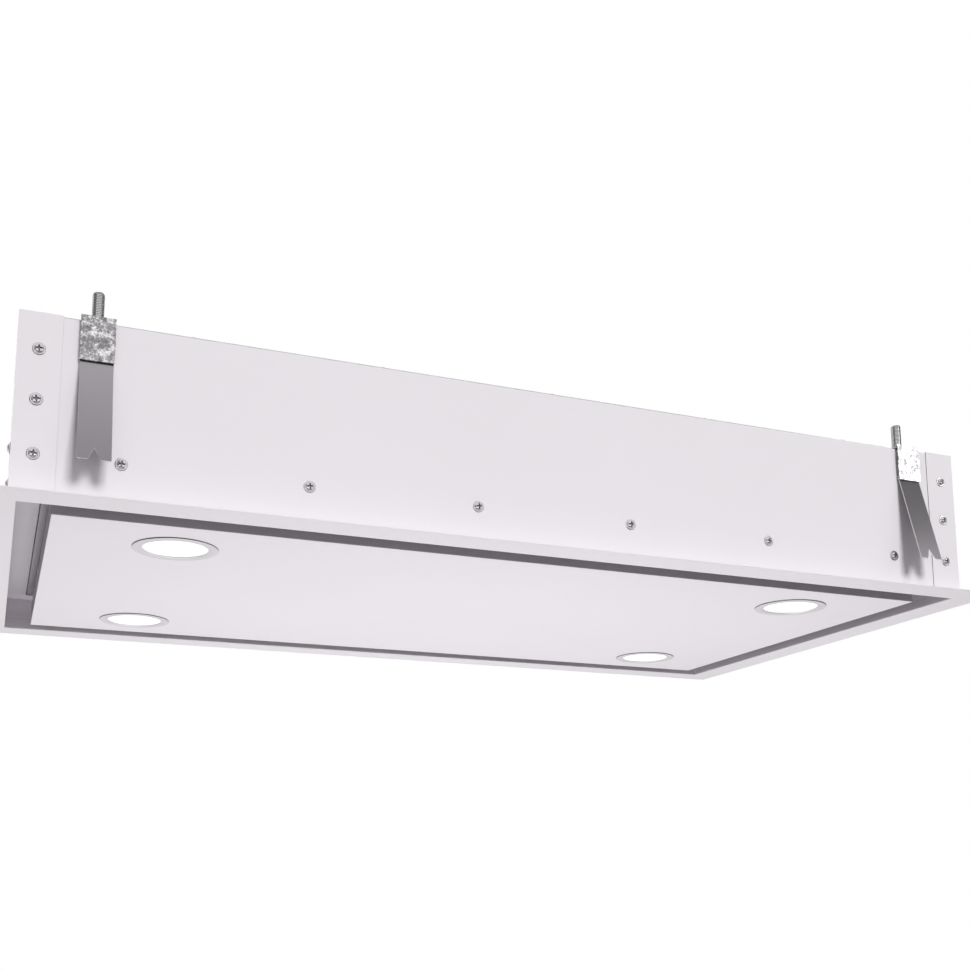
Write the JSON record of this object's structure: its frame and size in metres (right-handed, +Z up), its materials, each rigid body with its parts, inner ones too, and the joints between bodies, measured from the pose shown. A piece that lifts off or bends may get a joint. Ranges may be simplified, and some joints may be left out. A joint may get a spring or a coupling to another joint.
{
  "type": "ceiling range hood",
  "caption": "Ceiling range hood: flanged housing with edge suction slot, drop-down lamp panel, grease filters, blower, damped outlet collar and screw clamps.",
  "frame": {"origin": "centre of the ceiling plane, the upper side of the flange", "axes": "+X along the hood, +Y away from the viewer, +Z up"},
  "size_m": [1.2, 0.7, 0.2388],
  "materials": {
    "flange_paint": "satin paint",
    "housing_paint": "satin paint",
    "top_zinc": "galvanised",
    "slot_steel": "dark brushed",
    "panel_paint": "satin paint",
    "bezel_satin": "satin",
    "lens_opal": "opal diffuser",
    "sink_aluminium": "die cast",
    "duct_zinc": "galvanised",
    "flap_aluminium": "rolled sheet",
    "pin_steel": "bright steel",
    "motor_paint": "dark enamel",
    "impeller_black": "moulded",
    "box_zinc": "galvanised",
    "driver_plastic": "moulded",
    "gland_plastic": "moulded",
    "leaf_zinc": "zinc plated",
    "magnet_ferrite": "ferrite block",
    "filter_aluminium": "expanded mesh in a frame",
    "latch_plastic": "moulded",
    "bracket_zinc": "galvanised with spangle",
    "rod_chrome": "bright plated thread",
    "tongue_steel": "spring steel",
    "screw_zinc": "bright plated"
  },
  "bodies": {
    "housing": {"flange_frame": "flange_paint", "front_panel": "housing_paint", "rear_panel": "housing_paint", "left_panel": "housing_paint", "right_panel": "housing_paint", "top_panel": "top_zinc", "clamp_channels": "top_zinc", "slot_liner": "slot_steel", "intake_shelf": "slot_steel", "outlet_collar": "duct_zinc", "scroll_casing": "duct_zinc", "scroll_lid": "duct_zinc", "inlet_ring": "duct_zinc", "flap_pin": "pin_steel", "hinge_pins": "pin_steel", "motor": "motor_paint", "control_box": "box_zinc", "control_cover": "box_zinc", "led_driver": "driver_plastic", "cable_gland": "gland_plastic", "hinge_fixed_leaves": "leaf_zinc", "catch_brackets": "leaf_zinc", "catch_magnets": "magnet_ferrite", "filter_rail_front": "filter_aluminium", "filter_rail_rear": "filter_aluminium", "filter_bars": "filter_aluminium", "filter_1": "filter_aluminium", "filter_2": "filter_aluminium", "filter_3": "filter_aluminium", "side_screws": "screw_zinc", "long_side_screws": "screw_zinc", "top_screws": "screw_zinc"},
    "panel": {"drop_panel": "panel_paint", "lamp_bezel_1": "bezel_satin", "lamp_bezel_2": "bezel_satin", "lamp_bezel_3": "bezel_satin", "lamp_bezel_4": "bezel_satin", "lamp_lenses": "lens_opal", "lamp_bodies": "sink_aluminium", "hinge_panel_leaves": "leaf_zinc"},
    "impeller_set": {"impeller": "impeller_black", "impeller_nut": "pin_steel", "motor_shaft": "pin_steel"},
    "left_damper": {"left_flap": "flap_aluminium"},
    "right_damper": {"right_flap": "flap_aluminium"},
    "latch_1": {"filter_latch_1": "latch_plastic"},
    "latch_2": {"filter_latch_2": "latch_plastic"},
    "latch_3": {"filter_latch_3": "latch_plastic"},
    "rod_1": {"clamp_rod_1": "rod_chrome"},
    "bracket_1": {"clamp_bracket_1": "bracket_zinc"},
    "tongue_1": {"clamp_tongue_1": "tongue_steel"},
    "rod_2": {"clamp_rod_2": "rod_chrome"},
    "bracket_2": {"clamp_bracket_2": "bracket_zinc"},
    "tongue_2": {"clamp_tongue_2": "tongue_steel"},
    "rod_3": {"clamp_rod_3": "rod_chrome"},
    "bracket_3": {"clamp_bracket_3": "bracket_zinc"},
    "tongue_3": {"clamp_tongue_3": "tongue_steel"},
    "rod_4": {"clamp_rod_4": "rod_chrome"},
    "bracket_4": {"clamp_bracket_4": "bracket_zinc"},
    "tongue_4": {"clamp_tongue_4": "tongue_steel"}
  },
  "joints": [
    {"name": "panel_swing", "type": "hinge", "parent": "housing", "child": "panel", "pos_m": [0, 0.27, 0.03], "axis": [1, 0, 0], "range_deg": [0, 90]},
    {"name": "impeller_spin", "type": "hinge", "parent": "housing", "child": "impeller_set", "pos_m": [-0.24, -0.06, 0.11], "axis": [0, 0, 1], "continuous": true},
    {"name": "right_damper_swing", "type": "hinge", "parent": "housing", "child": "right_damper", "pos_m": [0, 0.0525, 0.1942], "axis": [0, -1, 0], "range_deg": [0, 75]},
    {"name": "left_damper_swing", "type": "hinge", "parent": "housing", "child": "left_damper", "pos_m": [0, 0.0525, 0.1942], "axis": [0, 1, 0], "range_deg": [0, 75]},
    {"name": "latch_1_slide", "type": "slide", "parent": "housing", "child": "latch_1", "axis": [0, 1, 0], "range_m": [0, 0.006], "stiffness_N_per_m": 300, "springref_m": -0.004},
    {"name": "latch_2_slide", "type": "slide", "parent": "housing", "child": "latch_2", "axis": [0, 1, 0], "range_m": [0, 0.006], "stiffness_N_per_m": 300, "springref_m": -0.004},
    {"name": "latch_3_slide", "type": "slide", "parent": "housing", "child": "latch_3", "axis": [0, 1, 0], "range_m": [0, 0.006], "stiffness_N_per_m": 300, "springref_m": -0.004},
    {"name": "rod_1_turn", "type": "hinge", "parent": "housing", "child": "rod_1", "pos_m": [-0.493, -0.3, 0.1], "axis": [0, 0, 1], "range_deg": [-4115, 5349]},
    {"name": "bracket_1_travel", "type": "slide", "parent": "housing", "child": "bracket_1", "axis": [0, 0, 1], "range_m": [-0.026, 0.02]},
    {"name": "tongue_1_fold", "type": "hinge", "parent": "bracket_1", "child": "tongue_1", "pos_m": [-0.493, -0.3175, 0.1463], "axis": [1, 0, 0], "range_deg": [0, 16], "stiffness_Nm_per_rad": 0.5, "springref_deg": -11.46},
    {"name": "rod_2_turn", "type": "hinge", "parent": "housing", "child": "rod_2", "pos_m": [0.493, -0.3, 0.1], "axis": [0, 0, 1], "range_deg": [-4115, 5349]},
    {"name": "bracket_2_travel", "type": "slide", "parent": "housing", "child": "bracket_2", "axis": [0, 0, 1], "range_m": [-0.026, 0.02]},
    {"name": "tongue_2_fold", "type": "hinge", "parent": "bracket_2", "child": "tongue_2", "pos_m": [0.493, -0.3175, 0.1463], "axis": [1, 0, 0], "range_deg": [0, 16], "stiffness_Nm_per_rad": 0.5, "springref_deg": -11.46},
    {"name": "rod_3_turn", "type": "hinge", "parent": "housing", "child": "rod_3", "pos_m": [-0.493, 0.3, 0.1], "axis": [0, 0, 1], "range_deg": [-4115, 5349]},
    {"name": "bracket_3_travel", "type": "slide", "parent": "housing", "child": "bracket_3", "axis": [0, 0, 1], "range_m": [-0.026, 0.02]},
    {"name": "tongue_3_fold", "type": "hinge", "parent": "bracket_3", "child": "tongue_3", "pos_m": [-0.493, 0.3175, 0.1463], "axis": [-1, 0, 0], "range_deg": [0, 16], "stiffness_Nm_per_rad": 0.5, "springref_deg": -11.46},
    {"name": "rod_4_turn", "type": "hinge", "parent": "housing", "child": "rod_4", "pos_m": [0.493, 0.3, 0.1], "axis": [0, 0, 1], "range_deg": [-4115, 5349]},
    {"name": "bracket_4_travel", "type": "slide", "parent": "housing", "child": "bracket_4", "axis": [0, 0, 1], "range_m": [-0.026, 0.02]},
    {"name": "tongue_4_fold", "type": "hinge", "parent": "bracket_4", "child": "tongue_4", "pos_m": [0.493, 0.3175, 0.1463], "axis": [-1, 0, 0], "range_deg": [0, 16], "stiffness_Nm_per_rad": 0.5, "springref_deg": -11.46}
  ],
  "couplings": [
    {"joint": "rod_1_turn", "follows": "bracket_1_travel", "rad_per_m": -3590.4},
    {"joint": "rod_2_turn", "follows": "bracket_2_travel", "rad_per_m": -3590.4},
    {"joint": "rod_3_turn", "follows": "bracket_3_travel", "rad_per_m": -3590.4},
    {"joint": "rod_4_turn", "follows": "bracket_4_travel", "rad_per_m": -3590.4}
  ]
}
